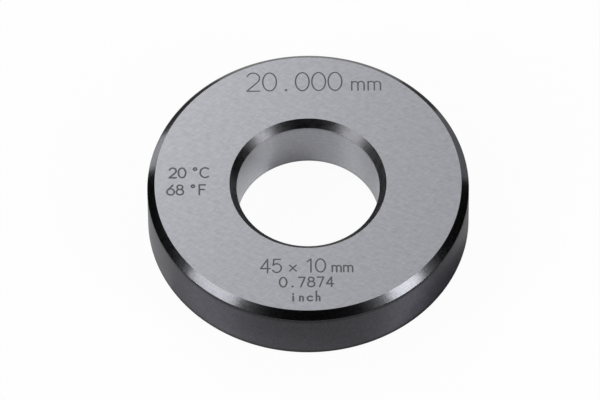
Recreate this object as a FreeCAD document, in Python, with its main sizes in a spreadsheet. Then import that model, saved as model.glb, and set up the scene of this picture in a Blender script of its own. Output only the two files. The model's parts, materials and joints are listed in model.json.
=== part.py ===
# Setting ring gauge: a plain ring of hardened steel, made in one piece.
# It is turned to a bevelled section, ground flat on both faces and lapped to size in the bore.
# It lies on its lower face. The origin is where the bore's axis meets that face, and +Z goes up the bore.
# Lengths are in millimetres.
import FreeCAD, Part
import math
import os
import Sketcher

PARTS_FOLDER = "parts"
RING_NAME = "setting_ring"
VOLUME_TOLERANCE = 1e-6

# Driving dimensions: alias, value, meaning
SIZES = [
    ("outer_diameter", 45.0, "outside wall"),
    ("bore_diameter", 19.996, "lapped gauging bore"),
    ("ring_width", 10.0, "height from the lower ground face to the upper one"),
    ("outer_bevel_reach", 1.05, "how far an outer bevel comes in from the outside wall"),
    ("outer_bevel_height", 1.05, "how far an outer bevel runs along the outside wall"),
    ("bore_bevel_reach", 1.0, "how far a lead-in bevel opens the bore's mouth"),
    ("bore_bevel_depth", 1.0, "how far a lead-in bevel goes down the bore"),
]

# Flat faces and straight walls of the half section, each between two of its corners
FACES = [("lower_mouth", "lower_rim"), ("upper_rim", "upper_mouth")]
WALLS = [("outside_low", "outside_high"), ("bore_high", "bore_low")]

# Dimensions of the half section: direction, from corner, to corner, and what sets it
ORIGIN = "origin"
DIMENSIONS = [
    ("DistanceX", ORIGIN, "outside_low", "Sizes.outer_diameter / 2"),
    ("DistanceX", ORIGIN, "bore_high", "Sizes.bore_diameter / 2"),
    ("DistanceY", ORIGIN, "upper_rim", "Sizes.ring_width"),
    ("DistanceX", "lower_rim", "outside_low", "Sizes.outer_bevel_reach"),
    ("DistanceY", "lower_rim", "outside_low", "Sizes.outer_bevel_height"),
    ("DistanceX", "upper_rim", "outside_high", "Sizes.outer_bevel_reach"),
    ("DistanceY", "outside_high", "upper_rim", "Sizes.outer_bevel_height"),
    ("DistanceX", "bore_low", "lower_mouth", "Sizes.bore_bevel_reach"),
    ("DistanceY", "lower_mouth", "bore_low", "Sizes.bore_bevel_depth"),
    ("DistanceX", "bore_high", "upper_mouth", "Sizes.bore_bevel_reach"),
    ("DistanceY", "bore_high", "upper_mouth", "Sizes.bore_bevel_depth"),
]

# A sketch's own numbers for a line's start, for its origin and for the axis that runs across it
LINE_START = 1
SKETCH_ORIGIN = (-1, LINE_START)
ACROSS_AXIS = -1
SOLVED = 0


def add_sheet(doc):
    """Sheet with one named cell for each driving dimension."""
    sheet = doc.addObject("Spreadsheet::Sheet", "Sizes")
    for row, (alias, value, meaning) in enumerate(SIZES, start=1):
        sheet.set(f"A{row}", alias)
        sheet.set(f"B{row}", str(value))
        sheet.set(f"C{row}", meaning)
        sheet.setAlias(f"B{row}", alias)
    doc.recompute()
    return sheet


def section_corners(sheet):
    """Corners of the half section in order round it, each name with its radius and height."""
    bore_radius = sheet.bore_diameter / 2
    outer_radius = sheet.outer_diameter / 2
    mouth_radius = bore_radius + sheet.bore_bevel_reach
    rim_radius = outer_radius - sheet.outer_bevel_reach
    top = sheet.ring_width
    return {
        "lower_mouth": (mouth_radius, 0.0),
        "lower_rim": (rim_radius, 0.0),
        "outside_low": (outer_radius, sheet.outer_bevel_height),
        "outside_high": (outer_radius, top - sheet.outer_bevel_height),
        "upper_rim": (rim_radius, top),
        "upper_mouth": (mouth_radius, top),
        "bore_high": (bore_radius, top - sheet.bore_bevel_depth),
        "bore_low": (bore_radius, sheet.bore_bevel_depth),
    }


def add_half_section(body, sheet):
    """Sketch of the ring's half section in the XZ plane, with the radius across and the height up."""
    sketch = body.newObject("Sketcher::SketchObject", "HalfSection")
    plane = next(item for item in body.Origin.OriginFeatures if item.Role == "XZ_Plane")
    sketch.AttachmentSupport = (plane, "")
    sketch.MapMode = "FlatFace"

    # Each line is numbered by the corner that it starts from.
    corners = section_corners(sheet)
    points = [FreeCAD.Vector(radius, height, 0) for radius, height in corners.values()]
    line_of = {name: number for number, name in enumerate(corners)}
    for start, end in zip(points, points[1:] + points[:1]):
        sketch.addGeometry(Part.LineSegment(start, end), False)
    for line in line_of.values():
        following = (line + 1) % len(points)
        sketch.addConstraint(Sketcher.Constraint("Coincident", line, 2, following, LINE_START))

    for start_corner, _ in FACES:
        sketch.addConstraint(Sketcher.Constraint("Horizontal", line_of[start_corner]))
    for start_corner, _ in WALLS:
        sketch.addConstraint(Sketcher.Constraint("Vertical", line_of[start_corner]))
    standing = (line_of["lower_mouth"], LINE_START)
    sketch.addConstraint(Sketcher.Constraint("PointOnObject", *standing, ACROSS_AXIS))

    place = {name: (line, LINE_START) for name, line in line_of.items()}
    place[ORIGIN] = SKETCH_ORIGIN
    for direction, start_corner, end_corner, expression in DIMENSIONS:
        start, end = place[start_corner], place[end_corner]
        span = sketch.getPoint(*end) - sketch.getPoint(*start)
        value = span.x if direction == "DistanceX" else span.y
        number = sketch.addConstraint(Sketcher.Constraint(direction, *start, *end, value))
        sketch.setExpression(f"Constraints[{number}]", expression)
    return sketch


def add_ring(doc, sheet):
    """The ring: its half section turned once round the bore's axis."""
    body = doc.addObject("PartDesign::Body", "SettingRing")
    body.Label = RING_NAME
    sketch = add_half_section(body, sheet)
    turned = body.newObject("PartDesign::Revolution", "TurnedRing")
    turned.Profile = sketch
    turned.ReferenceAxis = (sketch, ["V_Axis"])
    turned.Angle = 360.0
    doc.recompute()
    if sketch.solve() != SOLVED or not sketch.FullyConstrained:
        raise RuntimeError("the half section is not fully dimensioned")
    return body


def swept_volume(corners):
    """Volume that a closed half section sweeps in one turn."""
    total = 0.0
    for (r0, z0), (r1, z1) in zip(corners, corners[1:] + corners[:1]):
        total += (r0 * z1 - r1 * z0) * (r0 + r1)
    return abs(total) * math.pi / 3


def check_ring(doc, sheet, ring):
    """Stops before anything is written if an object failed or the ring isn't the solid it should be."""
    for item in doc.Objects:
        if "Invalid" in item.State or "Error" in item.State:
            raise RuntimeError(f"{item.Name} failed: {item.State}")
    shape = ring.Shape
    if shape.isNull() or not shape.isValid() or len(shape.Solids) != 1:
        raise RuntimeError(f"{ring.Label} is not one valid solid")
    expected = swept_volume(list(section_corners(sheet).values()))
    if abs(shape.Volume - expected) > VOLUME_TOLERANCE * expected:
        raise RuntimeError(f"{ring.Label} holds {shape.Volume:.3f} mm3 and not {expected:.3f}")


def main():
    doc = FreeCAD.newDocument("SettingRingGauge")
    sheet = add_sheet(doc)
    ring = add_ring(doc, sheet)
    check_ring(doc, sheet, ring)
    os.makedirs(PARTS_FOLDER, exist_ok=True)
    ring.Shape.exportStep(os.path.join(PARTS_FOLDER, f"{ring.Label}.step"))
    box = ring.Shape.BoundBox
    print(f"{ring.Label}: {box.XLength:.3f} x {box.YLength:.3f} x {box.ZLength:.3f} mm")


main()
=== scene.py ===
import json
import math
import bmesh
import bpy
import numpy as np
from mathutils import Matrix, Vector
from mathutils.geometry import delaunay_2d_cdt


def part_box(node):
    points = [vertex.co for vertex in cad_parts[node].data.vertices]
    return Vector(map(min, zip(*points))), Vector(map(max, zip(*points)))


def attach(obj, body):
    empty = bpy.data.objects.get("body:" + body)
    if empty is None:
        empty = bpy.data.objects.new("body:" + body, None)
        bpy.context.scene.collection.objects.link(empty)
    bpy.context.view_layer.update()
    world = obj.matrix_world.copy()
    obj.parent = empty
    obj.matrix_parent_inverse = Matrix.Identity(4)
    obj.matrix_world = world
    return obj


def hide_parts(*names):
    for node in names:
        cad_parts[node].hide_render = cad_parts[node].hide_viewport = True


# Setting ring gauge: a hardened steel ring that lies flat, with ground faces, a lapped bore,
# darkened bevels and outside wall, and shallow engraved sizes on its upper face.
# Everything is in metres. The ring's sizes come from the frame.
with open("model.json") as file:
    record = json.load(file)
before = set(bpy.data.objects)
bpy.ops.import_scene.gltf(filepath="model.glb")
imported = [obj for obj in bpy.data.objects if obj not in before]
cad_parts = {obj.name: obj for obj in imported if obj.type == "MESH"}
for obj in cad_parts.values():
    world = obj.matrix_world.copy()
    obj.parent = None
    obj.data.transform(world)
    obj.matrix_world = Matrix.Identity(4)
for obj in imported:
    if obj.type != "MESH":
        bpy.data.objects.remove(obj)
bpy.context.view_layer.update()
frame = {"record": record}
MM = 0.001
NODE = "setting_ring"

ring_low, ring_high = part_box(NODE)
mounts = {mount["name"]: mount for mount in frame["record"]["mounts"]}
BOTTOM = ring_low.z
TOP = ring_high.z
OUTER_RADIUS = ring_high.x
BORE_RADIUS = mounts["bore"]["dims"]["r_mm"] * MM
OUTER_BEVEL = (TOP - BOTTOM - mounts["outside_diameter"]["dims"]["length_mm"] * MM) / 2
BORE_BEVEL = (TOP - BOTTOM - mounts["bore"]["dims"]["length_mm"] * MM) / 2

# Turned surfaces, and the finish of each
SIDES = 480
FACE_EDGE_RADIUS = 0.035 * MM
WALL_EDGE_RADIUS = 0.2 * MM
EDGE_STEPS = 4
WELD_DISTANCE = 0.002 * MM
FINISHES = [
    "ground_face",
    "outer_bevel",
    "outside_wall",
    "bore_bevel",
    "lapped_bore",
    "bright_edge",
    "engraving",
]

# Engraved strokes
STROKE_FLOOR_SHARE = 0.55
STROKE_DEPTH = 0.035 * MM
ARC_STEP = math.radians(15)
SHARP_TURN = ARC_STEP * 1.5
CAP_STEPS = 6
SPACE_SHARE = 0.4

# What the triangulation is asked for: the whole outline filled, and the distance at which points join
FILL_ALL = 0
JOIN_DISTANCE = 1e-5


def arc(x, y, reach_x, reach_y, start, end):
    """Points along an elliptical arc, from one angle in degrees to another."""
    start, end = math.radians(start), math.radians(end)
    steps = max(2, round(abs(end - start) / ARC_STEP))
    angles = [start + (end - start) * step / steps for step in range(steps + 1)]
    return [(x + reach_x * math.cos(angle), y + reach_y * math.sin(angle)) for angle in angles]


def hump(x):
    """The arch and right leg of an n or m, from its left leg at x."""
    return arc(x + 0.14, 0.34, 0.14, 0.14, 180, 0) + [(x + 0.28, 0.0)]


# Strokes of each character on a cell one unit high, and the character's width
GLYPHS = {
    "0": (0.62, [arc(0.31, 0.5, 0.31, 0.5, 0, 360)]),
    "1": (0.24, [[(0.0, 0.8), (0.24, 1.0), (0.24, 0.0)]]),
    "2": (0.58, [arc(0.29, 0.71, 0.29, 0.29, 160, -45) + [(0.0, 0.0), (0.58, 0.0)]]),
    "4": (0.6, [[(0.44, 0.0), (0.44, 1.0), (0.0, 0.3), (0.6, 0.3)]]),
    "5": (0.56, [[(0.5, 1.0), (0.1, 1.0), (0.05, 0.54)] + arc(0.27, 0.33, 0.29, 0.33, 140, -150)]),
    "6": (0.62, [[(0.5, 1.0), (0.076, 0.514)], arc(0.31, 0.31, 0.31, 0.31, 0, 360)]),
    "7": (0.54, [[(0.0, 1.0), (0.54, 1.0), (0.18, 0.0)]]),
    "8": (0.6, [arc(0.3, 0.28, 0.3, 0.28, 0, 360), arc(0.3, 0.78, 0.23, 0.22, 0, 360)]),
    ".": (0.1, [arc(0.05, 0.04, 0.03, 0.03, 0, 360)]),
    "°": (0.26, [arc(0.13, 0.87, 0.13, 0.13, 0, 360)]),
    "C": (0.7, [arc(0.42, 0.5, 0.42, 0.5, 50, 310)]),
    "F": (0.5, [[(0.0, 0.0), (0.0, 1.0), (0.5, 1.0)], [(0.0, 0.52), (0.42, 0.52)]]),
    "c": (0.4, [arc(0.24, 0.24, 0.24, 0.24, 45, 315)]),
    "h": (0.28, [[(0.0, 0.0), (0.0, 1.0)], hump(0.0)]),
    "i": (0.06, [[(0.03, 0.0), (0.03, 0.48)], arc(0.03, 0.72, 0.02, 0.02, 0, 360)]),
    "m": (0.56, [[(0.0, 0.0), (0.0, 0.48)], hump(0.0), hump(0.28)]),
    "n": (0.28, [[(0.0, 0.0), (0.0, 0.48)], hump(0.0)]),
    "x": (0.4, [[(0.0, 0.1), (0.4, 0.54)], [(0.0, 0.54), (0.4, 0.1)]]),
}

# Lines of the upper face, in millimetres: text, middle in x, foot in y, height and pitch of
# a character, and width of a stroke
MARKS = [
    ("20.000 mm", 0.95, 15.75, 3.1, 2.3, 0.2),
    ("20 °C", -16.7, 1.1, 1.65, 1.3, 0.25),
    ("68 °F", -17.0, -1.8, 1.65, 1.3, 0.25),
    ("45 x 10 mm", -0.3, -15.05, 2.2, 1.6, 0.22),
    ("0.7874", -0.35, -17.5, 1.6, 1.3, 0.23),
    ("inch", -0.5, -19.85, 1.6, 1.15, 0.25),
]


def mark_strokes():
    """The engraved strokes, each a list of points on the upper face and half the stroke's width."""
    strokes = []
    for text, middle, foot, height, pitch, width_across in MARKS:
        steps = [pitch * (SPACE_SHARE if character == " " else 1.0) for character in text]
        left = middle - sum(steps) / 2
        for character, step in zip(text, steps):
            if character != " ":
                width, paths = GLYPHS[character]
                start = left + (step - width * height) / 2
                for path in paths:
                    points = [((start + x * height) * MM, (foot + y * height) * MM) for x, y in path]
                    strokes.append((points, width_across / 2 * MM))
            left += step
    return strokes


def straight_pieces(points, half_width):
    """Splits a stroke at its sharp corners, so that each piece is straight or gently curved."""
    pieces = []
    current = [Vector(points[0])]
    for point in points[1:]:
        point = Vector(point)
        if len(current) > 1:
            turn = (current[-1] - current[-2]).angle(point - current[-1])
            if turn > SHARP_TURN:
                pieces.append((current, half_width))
                current = [current[-1]]
        current.append(point)
    pieces.append((current, half_width))
    return pieces


def stroke_outline(points, half_width):
    """Closed outline at one distance all round a line of points, with round ends."""
    headings = [(b - a).normalized() for a, b in zip(points, points[1:])]
    sides = []
    for number, point in enumerate(points):
        before = headings[max(0, number - 1)]
        after = headings[min(number, len(headings) - 1)]
        heading = (before + after).normalized()
        sides.append(Vector((-heading.y, heading.x)) * half_width)
    outline = [point + side for point, side in zip(points, sides)]
    outline += round_end(points[-1], sides[-1])
    outline += [point - side for point, side in reversed(list(zip(points, sides)))]
    outline += round_end(points[0], -sides[0])
    return outline


def round_end(centre, side):
    """Points of the half circle that closes an outline's end, clockwise from one side to the other."""
    turns = [-math.pi * step / CAP_STEPS for step in range(1, CAP_STEPS)]
    return [centre + Matrix.Rotation(turn, 2) @ side for turn in turns]


def share_across_strokes(places, pieces):
    """How far each place is across its nearest stroke, from 0 on the centre line to 1 at the side."""
    starts = np.array([a for points, _ in pieces for a in points[:-1]])
    ends = np.array([b for points, _ in pieces for b in points[1:]])
    half_widths = np.array([half_width for points, half_width in pieces for _ in points[1:]])
    along = ends - starts
    nearest = []
    for place in np.array(places):
        share = ((place - starts) * along).sum(1) / (along * along).sum(1)
        foot = starts + along * np.clip(share, 0.0, 1.0)[:, None]
        distances = np.sqrt(((place - foot) ** 2).sum(1))
        nearest.append((distances / half_widths).min())
    return nearest


def section_corners():
    """Corners of the half section: place, finish of the next face, and the edge's own finish and radius."""
    mouth = BORE_RADIUS + BORE_BEVEL
    rim = OUTER_RADIUS - OUTER_BEVEL
    face_edge = ("bright_edge", FACE_EDGE_RADIUS)
    wall_edge = ("outer_bevel", WALL_EDGE_RADIUS)
    return [
        (Vector((mouth, TOP)), "ground_face", *face_edge),
        (Vector((rim, TOP)), "outer_bevel", *face_edge),
        (Vector((OUTER_RADIUS, TOP - OUTER_BEVEL)), "outside_wall", *wall_edge),
        (Vector((OUTER_RADIUS, BOTTOM + OUTER_BEVEL)), "outer_bevel", *wall_edge),
        (Vector((rim, BOTTOM)), "ground_face", *face_edge),
        (Vector((mouth, BOTTOM)), "bore_bevel", *face_edge),
        (Vector((BORE_RADIUS, BOTTOM + BORE_BEVEL)), "lapped_bore", *face_edge),
        (Vector((BORE_RADIUS, TOP - BORE_BEVEL)), "bore_bevel", *face_edge),
    ]


def broken_edge(before, corner, after, radius):
    """Points of the small arc that takes a corner's sharpness off."""
    back = (before - corner).normalized()
    ahead = (after - corner).normalized()
    half = back.angle(ahead) / 2
    centre = corner + (back + ahead).normalized() * radius / math.sin(half)
    spokes = [corner + way * radius / math.tan(half) - centre for way in (back, ahead)]
    first, last = [math.atan2(spoke.y, spoke.x) for spoke in spokes]
    turn = math.remainder(last - first, math.tau)
    angles = [first + turn * step / EDGE_STEPS for step in range(EDGE_STEPS + 1)]
    return [centre + Vector((math.cos(angle), math.sin(angle))) * radius for angle in angles]


def rounded_section():
    """Points of the half section in order, each with the finish of the strip that follows it."""
    corners = section_corners()
    section = []
    for number, (corner, finish, edge_finish, radius) in enumerate(corners):
        before = corners[number - 1][0]
        after = corners[(number + 1) % len(corners)][0]
        edge = broken_edge(before, corner, after, radius)
        section += [(point, edge_finish) for point in edge[:-1]]
        section.append((edge[-1], finish))
    return section


def turn_section(mesh, section):
    """Turns the section round Z, all but the upper face, and returns the upper face's two circles."""
    angles = [math.tau * side / SIDES for side in range(SIDES)]
    rings = []
    for point, _ in section:
        ring = [mesh.verts.new((point.x * math.cos(a), point.x * math.sin(a), point.y)) for a in angles]
        rings.append(ring)
    # The first corner's arc comes first in the section, and the upper face follows its last point.
    upper_face = EDGE_STEPS
    for number, (_, finish) in enumerate(section):
        if number == upper_face:
            continue
        ring, following = rings[number], rings[(number + 1) % len(rings)]
        for side in range(SIDES):
            beside = (side + 1) % SIDES
            face = mesh.faces.new((ring[side], ring[beside], following[beside], following[side]))
            face.material_index = FINISHES.index(finish)
            face.smooth = True
    return rings[upper_face], rings[upper_face + 1]


def engrave_upper_face(mesh, inner_circle, outer_circle):
    """Fills the upper face between its circles, with the marks cut into it as shallow grooves."""
    pieces = [piece for stroke in mark_strokes() for piece in straight_pieces(*stroke)]
    loops = [[Vector(vert.co.xy) for vert in circle] for circle in (inner_circle, outer_circle)]
    for share in (1.0, STROKE_FLOOR_SHARE):
        loops += [stroke_outline(line, half_width * share) for line, half_width in pieces]
    points, edges = [], []
    for loop in loops:
        first = len(points)
        edges += [(first + n, first + (n + 1) % len(loop)) for n in range(len(loop))]
        points += [point / MM for point in loop]
    places, _, triangles, sources, _, _ = delaunay_2d_cdt(points, edges, [], FILL_ALL, JOIN_DISTANCE, True)

    circle_verts = inner_circle + outer_circle
    places = [place * MM for place in places]
    verts = []
    for place, source, across in zip(places, sources, share_across_strokes(places, pieces)):
        on_circle = [number for number in source if number < len(circle_verts)]
        if on_circle:
            verts.append(circle_verts[on_circle[0]])
        else:
            depth = STROKE_DEPTH * min(1.0, max(0.0, (1.0 - across) / (1.0 - STROKE_FLOOR_SHARE)))
            verts.append(mesh.verts.new((place.x, place.y, TOP - depth)))

    centres = [sum((places[corner] for corner in triangle), Vector((0, 0))) / 3 for triangle in triangles]
    inner_radius = inner_circle[0].co.xy.length * math.cos(math.pi / SIDES)
    for triangle, centre, across in zip(triangles, centres, share_across_strokes(centres, pieces)):
        if centre.length > inner_radius:
            face = mesh.faces.new([verts[corner] for corner in triangle])
            finish = "engraving" if across < 1.0 else "ground_face"
            face.material_index = FINISHES.index(finish)


def make_ring(materials):
    """The finished ring as one closed mesh."""
    mesh = bmesh.new()
    section = rounded_section()
    inner_circle, outer_circle = turn_section(mesh, section)
    engrave_upper_face(mesh, inner_circle, outer_circle)
    bmesh.ops.remove_doubles(mesh, verts=mesh.verts, dist=WELD_DISTANCE)
    bmesh.ops.recalc_face_normals(mesh, faces=mesh.faces)
    for edge in mesh.edges:
        finishes = {face.material_index for face in edge.link_faces}
        edge.smooth = len(finishes) == 1
    data = bpy.data.meshes.new("ring")
    mesh.to_mesh(data)
    mesh.free()
    for finish in FINISHES:
        data.materials.append(materials[finish])
    ring = bpy.data.objects.new("ring", data)
    bpy.context.collection.objects.link(ring)
    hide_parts(NODE)
    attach(ring, "root")
    return ring


# Patterns: the part of a noise's range that is used, its detail, and a height that leaves it flat in Z
NOISE_LOW, NOISE_HIGH = 0.3, 0.7
NOISE_DETAIL = 3.0
FLAT = 1.0
QUARTER_TURN = 0.25


def new_material(name, colour, metallic, roughness):
    """A material with its main shader set, and its node tree."""
    material = bpy.data.materials.new(name)
    material.use_nodes = True
    tree = material.node_tree
    shader = tree.nodes["Principled BSDF"]
    shader.inputs["Base Color"].default_value = (*colour, 1.0)
    shader.inputs["Metallic"].default_value = metallic
    shader.inputs["Roughness"].default_value = roughness
    return material, tree, shader


def streaks(tree, along, across, height, angle=0.0):
    """Noise in streaks of a real size: their length, their width, their height in Z, and their angle."""
    place = tree.nodes.new("ShaderNodeTexCoord")
    mapping = tree.nodes.new("ShaderNodeMapping")
    mapping.vector_type = "TEXTURE"
    mapping.inputs["Rotation"].default_value[2] = math.radians(angle)
    mapping.inputs["Scale"].default_value = (along, across, height)
    noise = tree.nodes.new("ShaderNodeTexNoise")
    noise.inputs["Scale"].default_value = 1.0
    noise.inputs["Detail"].default_value = NOISE_DETAIL
    tree.links.new(place.outputs["Object"], mapping.inputs["Vector"])
    tree.links.new(mapping.outputs["Vector"], noise.inputs["Vector"])
    return noise.outputs["Fac"]


def average(tree, first, second):
    """The mean of two patterns."""
    mix = tree.nodes.new("ShaderNodeMix")
    mix.inputs["Factor"].default_value = 0.5
    tree.links.new(first, mix.inputs["A"])
    tree.links.new(second, mix.inputs["B"])
    return mix.outputs["Result"]


def spread(tree, pattern, low, high):
    """Stretches a pattern's middle range over the values from low to high."""
    ranging = tree.nodes.new("ShaderNodeMapRange")
    ranging.inputs["From Min"].default_value = NOISE_LOW
    ranging.inputs["From Max"].default_value = NOISE_HIGH
    ranging.inputs["To Min"].default_value = low
    ranging.inputs["To Max"].default_value = high
    tree.links.new(pattern, ranging.inputs["Value"])
    return ranging.outputs["Result"]


def vary_colour(tree, shader, pattern, dark, light):
    """Lets the colour go from dark to light with a pattern."""
    mix = tree.nodes.new("ShaderNodeMix")
    mix.data_type = "RGBA"
    mix.inputs["A"].default_value = (*dark, 1.0)
    mix.inputs["B"].default_value = (*light, 1.0)
    tree.links.new(spread(tree, pattern, 0.0, 1.0), mix.inputs["Factor"])
    tree.links.new(mix.outputs["Result"], shader.inputs["Base Color"])


def vary_roughness(tree, shader, pattern, low, high):
    """Lets the roughness go from low to high with a pattern."""
    tree.links.new(spread(tree, pattern, low, high), shader.inputs["Roughness"])


def paint_shade_near_edges(tree, shader, low, high, reach, factor):
    """Paints shade into the colour towards the heights low and high, over one reach from each."""
    place = tree.nodes.new("ShaderNodeTexCoord")
    axes = tree.nodes.new("ShaderNodeSeparateXYZ")
    from_middle = tree.nodes.new("ShaderNodeMath")
    from_middle.operation = "SUBTRACT"
    from_middle.inputs[1].default_value = (low + high) / 2
    distance = tree.nodes.new("ShaderNodeMath")
    distance.operation = "ABSOLUTE"
    ranging = tree.nodes.new("ShaderNodeMapRange")
    ranging.interpolation_type = "SMOOTHSTEP"
    ranging.inputs["From Min"].default_value = (high - low) / 2 - reach
    ranging.inputs["From Max"].default_value = (high - low) / 2
    mix = tree.nodes.new("ShaderNodeMix")
    mix.data_type = "RGBA"
    mix.blend_type = "MULTIPLY"
    mix.inputs["B"].default_value = (factor, factor, factor, 1.0)
    tree.links.new(place.outputs["Object"], axes.inputs["Vector"])
    tree.links.new(axes.outputs["Z"], from_middle.inputs[0])
    tree.links.new(from_middle.outputs["Value"], distance.inputs[0])
    tree.links.new(distance.outputs["Value"], ranging.inputs["Value"])
    tree.links.new(ranging.outputs["Result"], mix.inputs["Factor"])
    tree.links.new(shader.inputs["Base Color"].links[0].from_socket, mix.inputs["A"])
    tree.links.new(mix.outputs["Result"], shader.inputs["Base Color"])


def add_relief(tree, shader, pattern, depth):
    """Fine relief of a real depth."""
    bump = tree.nodes.new("ShaderNodeBump")
    bump.inputs["Strength"].default_value = 1.0
    bump.inputs["Distance"].default_value = depth
    tree.links.new(pattern, bump.inputs["Height"])
    tree.links.new(bump.outputs["Normal"], shader.inputs["Normal"])


def add_turned_lay(tree, shader, anisotropy):
    """Spreads reflections across the fine lines that run round the ring."""
    tangent = tree.nodes.new("ShaderNodeTangent")
    tangent.direction_type = "RADIAL"
    tangent.axis = "Z"
    shader.inputs["Anisotropic"].default_value = anisotropy
    shader.inputs["Anisotropic Rotation"].default_value = QUARTER_TURN
    tree.links.new(tangent.outputs["Tangent"], shader.inputs["Tangent"])


def shade(colour, factor):
    """A colour made darker or lighter by one factor."""
    return tuple(channel * factor for channel in colour)


def ground_face_material():
    """Bright satin steel, ground and lapped, with fine crossing scratches."""
    colour = (0.298, 0.3, 0.323)
    material, tree, shader = new_material("ground_face", colour, 1.0, 0.38)
    coarse = streaks(tree, 1.4 * MM, 0.5 * MM, FLAT, -25)
    crossing = streaks(tree, 1.0 * MM, 0.4 * MM, FLAT, 40)
    fine = streaks(tree, 0.9 * MM, 0.06 * MM, FLAT, -8)
    lay = average(tree, average(tree, coarse, crossing), fine)
    vary_colour(tree, shader, lay, shade(colour, 0.78), shade(colour, 1.22))
    vary_roughness(tree, shader, fine, 0.33, 0.43)
    add_relief(tree, shader, lay, 0.004 * MM)
    return material


def outer_bevel_material():
    """Smooth turned steel under a dark finish, glossy enough to hold a clear highlight."""
    colour = (0.1, 0.101, 0.11)
    material, tree, shader = new_material("outer_bevel", colour, 1.0, 0.2)
    shader.inputs["Specular Tint"].default_value = (0.6, 0.6, 0.6, 1.0)
    lines = streaks(tree, 3.0 * MM, 3.0 * MM, 0.05 * MM)
    waves = streaks(tree, 0.35 * MM, 0.35 * MM, 2.0 * MM)
    vary_colour(tree, shader, lines, shade(colour, 0.9), shade(colour, 1.1))
    vary_roughness(tree, shader, waves, 0.17, 0.23)
    add_relief(tree, shader, average(tree, waves, lines), 0.008 * MM)
    return material


def bore_bevel_material():
    """The dark finish on the bore's bevels, which is duller than outside."""
    colour = (0.082, 0.082, 0.088)
    material, tree, shader = new_material("bore_bevel", colour, 1.0, 0.29)
    shader.inputs["Specular Tint"].default_value = (0.6, 0.6, 0.6, 1.0)
    lines = streaks(tree, 3.0 * MM, 3.0 * MM, 0.05 * MM)
    patches = streaks(tree, 0.8 * MM, 0.8 * MM, 0.8 * MM)
    vary_colour(tree, shader, average(tree, lines, patches), shade(colour, 0.85), shade(colour, 1.15))
    vary_roughness(tree, shader, patches, 0.25, 0.33)
    add_relief(tree, shader, patches, 0.004 * MM)
    return material


def outside_wall_material():
    """Ground outside wall under a dark finish, with shade painted into its colour beside both edges, and
    fine lines round it.
    """
    colour = (0.081, 0.081, 0.097)
    material, tree, shader = new_material("outside_wall", colour, 1.0, 0.5)
    shader.inputs["Coat Weight"].default_value = 0.35
    shader.inputs["Coat Roughness"].default_value = 0.3
    lines = streaks(tree, 2.0 * MM, 2.0 * MM, 0.1 * MM)
    patches = streaks(tree, 0.4 * MM, 0.4 * MM, 0.35 * MM)
    vary_colour(tree, shader, average(tree, lines, patches), shade(colour, 0.6), shade(colour, 1.4))
    # Painted shade: the wall's colour goes nearly black beside both edges.
    paint_shade_near_edges(tree, shader, BOTTOM + OUTER_BEVEL, TOP - OUTER_BEVEL, 0.9 * MM, 0.05)
    vary_roughness(tree, shader, lines, 0.45, 0.55)
    add_relief(tree, shader, average(tree, lines, patches), 0.006 * MM)
    add_turned_lay(tree, shader, 0.9)
    return material


def lapped_bore_material():
    """Lapped bore: bright and even, with a little shade painted into its colour beside its bevels, and very
    fine lines round it.
    """
    colour = (0.602, 0.605, 0.642)
    material, tree, shader = new_material("lapped_bore", colour, 1.0, 0.36)
    lines = streaks(tree, 2.0 * MM, 2.0 * MM, 0.08 * MM)
    patches = streaks(tree, 0.5 * MM, 0.5 * MM, 0.35 * MM)
    vary_colour(tree, shader, average(tree, lines, patches), shade(colour, 0.85), shade(colour, 1.15))
    # Painted shade: the bore's colour is a little darker beside its bevels.
    paint_shade_near_edges(tree, shader, BOTTOM + BORE_BEVEL, TOP - BORE_BEVEL, 0.6 * MM, 0.75)
    vary_roughness(tree, shader, lines, 0.33, 0.39)
    add_relief(tree, shader, average(tree, lines, patches), 0.004 * MM)
    add_turned_lay(tree, shader, 0.85)
    return material


def bright_edge_material():
    """The fine edge where grinding has cut through the dark finish."""
    colour = (0.4, 0.41, 0.42)
    material, tree, shader = new_material("bright_edge", colour, 1.0, 0.3)
    nicks = streaks(tree, 0.6 * MM, 0.6 * MM, 0.6 * MM)
    vary_colour(tree, shader, nicks, shade(colour, 0.75), shade(colour, 1.1))
    vary_roughness(tree, shader, nicks, 0.25, 0.4)
    return material


def engraving_material():
    """Dark, rough floor and sides of the engraved strokes."""
    colour = (0.1, 0.1, 0.105)
    material, tree, shader = new_material("engraving", colour, 0.6, 0.55)
    grain = streaks(tree, 0.08 * MM, 0.08 * MM, 0.08 * MM)
    vary_colour(tree, shader, grain, shade(colour, 0.7), shade(colour, 1.3))
    vary_roughness(tree, shader, grain, 0.45, 0.65)
    add_relief(tree, shader, grain, 0.003 * MM)
    return material


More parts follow.
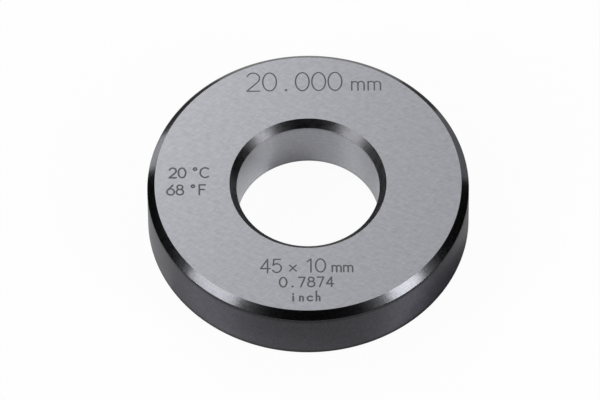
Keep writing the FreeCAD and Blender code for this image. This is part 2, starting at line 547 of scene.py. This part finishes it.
# Stage, with directions as degrees round Z from +X and degrees above the horizon
FLOOR_RADIUS = 4.0
FLOOR_SIDES = 64
FLOOR_GAP = 0.01 * MM
FLOOR_COLOUR = (0.95, 0.95, 0.95)
FLOOR_GLOW = 0.95
FLOOR_REFLECTED_GLOW = 0.15
WORLD_FILL = 0.4
WORLD_REFLECTED_WHITE = 0.85
SOFTBOXES = [
    # name, azimuth, elevation, distance, width, height, radiance
    ("left_softbox", 211, 27, 0.4, 0.195, 0.15, 5.6),
    ("right_softbox", 329, 26, 0.4, 0.13, 0.15, 7.3),
    ("key_softbox", 116, 42, 0.26, 0.14, 0.14, 2.15),
    ("left_glow", 212, 27, 0.41, 0.38, 0.22, 0.2),
    ("right_glow", 329, 26, 0.41, 0.31, 0.22, 0.38),
]
CARD_STEP = 3
CARD_COLOUR = (0.005, 0.005, 0.005)
STANDING_CARDS = [
    # name, start and end in degrees, radius, height, glow
    ("front_card", 159, 378, 40 * MM, 13 * MM, 0.0),
    ("left_card", 156, 186, 42 * MM, 16 * MM, 0.0),
    ("rear_left_card", 116, 143, 36 * MM, 5.5 * MM, 0.12),
    # This card glows though it is no lamp: a painted highlight that only the left bevel's reflection shows.
    ("low_left_painted_highlight", 137, 152, 49 * MM, 7.3 * MM, 2.9),
    ("rear_right_card", 47, 62, 36 * MM, 5 * MM, 0.14),
]
# Cards on the floor that only reflections show: the black and dim ones are painted shade on the floor, and
# the brighter glowing ones are painted pools of light on it.
FLOOR_CARDS = [
    # name, start and end in degrees, radius beside the ring, radius of the far side, glow
    ("shadow_card", 303, 354, 22.8 * MM, 26 * MM, 0.0),
    ("left_painted_floor_light", 165, 210, 22.8 * MM, 28 * MM, 0.9),
    ("front_painted_floor_light", 228, 288, 22.8 * MM, 25.5 * MM, 0.85),
    ("rear_bore_painted_shade", 81, 123, 9.9 * MM, 6.5 * MM, 0.18),
    ("left_bore_painted_floor_light", 120, 186, 9.9 * MM, 5.5 * MM, 0.66),
    ("right_bore_painted_floor_light", -3, 72, 9.9 * MM, 5.5 * MM, 0.5),
]
FLOOR_CARD_HEIGHT = 0.05 * MM
FAR_CARD_START, FAR_CARD_END = 135, 390
FAR_CARD_RADIUS = 450 * MM
FAR_CARD_MEAN_TOP = 30
FAR_CARD_PEAK = 285


def direction(azimuth, elevation):
    """Unit vector towards a place round the ring."""
    turn, rise = math.radians(azimuth), math.radians(elevation)
    return Vector((math.cos(turn) * math.cos(rise), math.sin(turn) * math.cos(rise), math.sin(rise)))


def add_softbox(name, azimuth, elevation, distance, width, height, radiance):
    """A rectangular lamp that faces the ring and isn't seen itself."""
    lamp = bpy.data.lights.new(name, "AREA")
    lamp.shape = "RECTANGLE"
    lamp.size = width
    lamp.size_y = height
    lamp.energy = radiance * math.pi * width * height
    softbox = bpy.data.objects.new(name, lamp)
    way = direction(azimuth, elevation)
    softbox.location = way * distance
    softbox.rotation_euler = way.to_track_quat("Z", "Y").to_euler()
    softbox.visible_camera = False
    bpy.context.collection.objects.link(softbox)


def far_card_top(azimuth):
    """Radius and height of the far card's top, highest at its peak and dropping away to both sides."""
    rise = 1 + math.cos(math.radians(azimuth - FAR_CARD_PEAK))
    return FAR_CARD_RADIUS, FAR_CARD_RADIUS * math.tan(math.radians(FAR_CARD_MEAN_TOP) * rise)


def level(radius, height):
    """The top of a standing card, which is the same all along it."""

    def top(_azimuth):
        return radius, height

    return top


def crescent(start, end, near, far):
    """The far side of a card on the floor, which is widest in its middle and pointed at its ends."""

    def far_side(azimuth):
        width = (far - near) * math.sin(math.pi * (azimuth - start) / (end - start))
        return near + width, FLOOR_CARD_HEIGHT

    return far_side


def add_card(name, start, end, foot_radius, top_at, glow):
    """A curved card round the ring, black or pale, that only the ring's reflections show."""
    mesh = bmesh.new()
    columns = []
    for azimuth in range(start, end + CARD_STEP, CARD_STEP):
        way = direction(azimuth, 0)
        radius, height = top_at(azimuth)
        top = way * radius + Vector((0, 0, height))
        columns.append([mesh.verts.new(way * foot_radius), mesh.verts.new(top)])
    for left, right in zip(columns, columns[1:]):
        mesh.faces.new((left[0], right[0], right[1], left[1]))
    data = bpy.data.meshes.new(name)
    mesh.to_mesh(data)
    mesh.free()
    material, _, shader = new_material(name, CARD_COLOUR, 0.0, 1.0)
    shader.inputs["Emission Color"].default_value = (1.0, 1.0, 1.0, 1.0)
    shader.inputs["Emission Strength"].default_value = glow
    data.materials.append(material)
    card = bpy.data.objects.new(name, data)
    card.visible_camera = False
    card.visible_diffuse = False
    card.visible_shadow = False
    card.visible_transmission = False
    bpy.context.collection.objects.link(card)


def mix_by_ray(tree, plain, white, camera_share, reflected_share):
    """Mixes white into a plain shader, by one share for camera rays and another for reflected ones."""
    rays = tree.nodes.new("ShaderNodeLightPath")
    mix = tree.nodes.new("ShaderNodeMixShader")
    tree.links.new(plain, mix.inputs[1])
    tree.links.new(white, mix.inputs[2])
    shares = [
        ("Is Camera Ray", camera_share),
        ("Is Glossy Ray", reflected_share),
        ("Is Transmission Ray", reflected_share),
    ]
    total = mix.inputs["Fac"]
    for kind, share in shares:
        add = tree.nodes.new("ShaderNodeMath")
        add.operation = "MULTIPLY_ADD"
        add.inputs[1].default_value = share
        add.inputs[2].default_value = 0.0
        tree.links.new(rays.outputs[kind], add.inputs[0])
        tree.links.new(add.outputs["Value"], total)
        total = add.inputs[2]
    return mix.outputs["Shader"]


def floor_material():
    """Pale floor that is nearly white to the camera, and keeps the ring's shadow."""
    material, tree, shader = new_material("floor", FLOOR_COLOUR, 0.0, 1.0)
    shader.inputs["Specular IOR Level"].default_value = 0.0
    glow = tree.nodes.new("ShaderNodeEmission")
    floor = mix_by_ray(
        tree, shader.outputs["BSDF"], glow.outputs["Emission"], FLOOR_GLOW, FLOOR_REFLECTED_GLOW
    )
    tree.links.new(floor, tree.nodes["Material Output"].inputs["Surface"])
    return material


def add_floor():
    """A round floor just under the ring."""
    mesh = bmesh.new()
    bmesh.ops.create_circle(mesh, cap_ends=True, segments=FLOOR_SIDES, radius=FLOOR_RADIUS)
    data = bpy.data.meshes.new("floor")
    mesh.to_mesh(data)
    mesh.free()
    data.materials.append(floor_material())
    floor = bpy.data.objects.new("floor", data)
    floor.location.z = BOTTOM - FLOOR_GAP
    bpy.context.collection.objects.link(floor)


def add_world():
    """An even surround, white to the camera and in reflections, and dimmer as a light."""
    world = bpy.data.worlds.new("studio")
    world.use_nodes = True
    tree = world.node_tree
    fill = tree.nodes["Background"]
    white = tree.nodes.new("ShaderNodeBackground")
    for background, strength in ((fill, WORLD_FILL), (white, 1.0)):
        background.inputs["Color"].default_value = (1.0, 1.0, 1.0, 1.0)
        background.inputs["Strength"].default_value = strength
    surround = mix_by_ray(
        tree, fill.outputs["Background"], white.outputs["Background"], 1.0, WORLD_REFLECTED_WHITE
    )
    tree.links.new(surround, tree.nodes["World Output"].inputs["Surface"])
    bpy.context.scene.world = world


def light_studio():
    """Softboxes round the ring in a white surround, with cards that stand or lie beside it."""
    add_world()
    for softbox in SOFTBOXES:
        add_softbox(*softbox)
    for name, start, end, radius, height, glow in STANDING_CARDS:
        add_card(name, start, end, radius, level(radius, height), glow)
    for name, start, end, near, far, glow in FLOOR_CARDS:
        add_card(name, start, end, near, crescent(start, end, near, far), glow)
    add_card("far_card", FAR_CARD_START, FAR_CARD_END, FAR_CARD_RADIUS, far_card_top, 0.0)


# Camera, fitted to the ring's edges in the photograph
CAMERA_LENS = 683.3
CAMERA_SENSOR = 36.0
CAMERA_DISTANCE = 1.6
CAMERA_ELEVATION = math.radians(55.552)
CAMERA_ROLL = math.radians(0.571)
CAMERA_AIM = Vector((-1.148, 2.710, 1.859)) * MM


def add_camera():
    """The camera of the photograph: long lens, from the front and above."""
    lens = bpy.data.cameras.new("camera")
    lens.lens = CAMERA_LENS
    lens.sensor_width = CAMERA_SENSOR
    camera = bpy.data.objects.new("camera", lens)
    back = Vector((0.0, -math.cos(CAMERA_ELEVATION), math.sin(CAMERA_ELEVATION)))
    turn = Matrix.Rotation(math.pi / 2 - CAMERA_ELEVATION, 3, "X") @ Matrix.Rotation(-CAMERA_ROLL, 3, "Z")
    camera.matrix_world = Matrix.LocRotScale(CAMERA_AIM + back * CAMERA_DISTANCE, turn.to_quaternion(), None)
    bpy.context.collection.objects.link(camera)
    bpy.context.scene.camera = camera


def main():
    materials = {
        "ground_face": ground_face_material(),
        "outer_bevel": outer_bevel_material(),
        "outside_wall": outside_wall_material(),
        "bore_bevel": bore_bevel_material(),
        "lapped_bore": lapped_bore_material(),
        "bright_edge": bright_edge_material(),
        "engraving": engraving_material(),
    }
    make_ring(materials)
    add_floor()
    light_studio()
    add_camera()
    bpy.context.scene.view_settings.view_transform = "Standard"


main()
